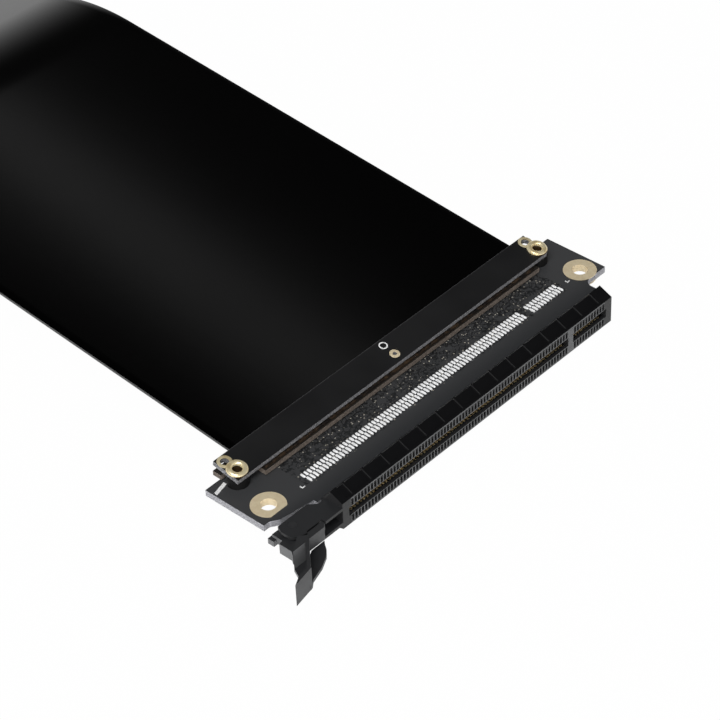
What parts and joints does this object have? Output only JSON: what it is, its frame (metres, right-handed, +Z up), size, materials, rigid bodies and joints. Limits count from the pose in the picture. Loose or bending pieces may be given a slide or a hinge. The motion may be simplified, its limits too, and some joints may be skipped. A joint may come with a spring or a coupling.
{
  "type": "riser cable",
  "caption": "Card slot with a latch lever on a small board, joined by a wide flat ribbon to a plug board with an edge tongue.",
  "frame": {"origin": "middle of the slot housing's underside, which rests on the table", "axes": "+Z up, +Y from the slot along the ribbon to the plug, +X along the slot towards its key"},
  "size_m": [0.1221, 0.2644, 0.0208],
  "materials": {
    "board": "dark solder mask on glass-fibre board",
    "housing": "moulded black, slightly glossy",
    "contact": "thin gold plate",
    "plating": "pale gold plate",
    "brass": "formed and slightly dull",
    "spacer": "black, dull",
    "pad": "black foam tape",
    "copper": "bare copper under dark lacquer",
    "ribbon": "black jacket, glossy"
  },
  "bodies": {
    "riser": {"slot_housing": "housing", "upper_contacts": "contact", "lower_contacts": "contact", "slot_board": "board", "left_mount_plating": "plating", "right_mount_plating": "plating", "slot_insulating_pad": "pad", "slot_lower_strip": "board", "slot_conductors": "copper", "slot_cover_strip": "board", "slot_left_spacer": "spacer", "slot_right_spacer": "spacer", "slot_left_eyelet": "brass", "slot_right_eyelet": "brass", "ribbon": "ribbon", "plug_board": "board", "plug_insulating_pad": "pad", "plug_lower_strip": "board", "plug_conductors": "copper", "plug_cover_strip": "board", "plug_left_spacer": "spacer", "plug_right_spacer": "spacer", "plug_left_eyelet": "brass", "plug_right_eyelet": "brass"},
    "latch": {"latch_lever": "housing"}
  },
  "joints": [
    {"name": "latch_pivot", "type": "hinge", "parent": "riser", "child": "latch", "pos_m": [-0.0545, -0.005, 0.0046], "axis": [0, 0, -1], "range_deg": [0, 18]}
  ]
}
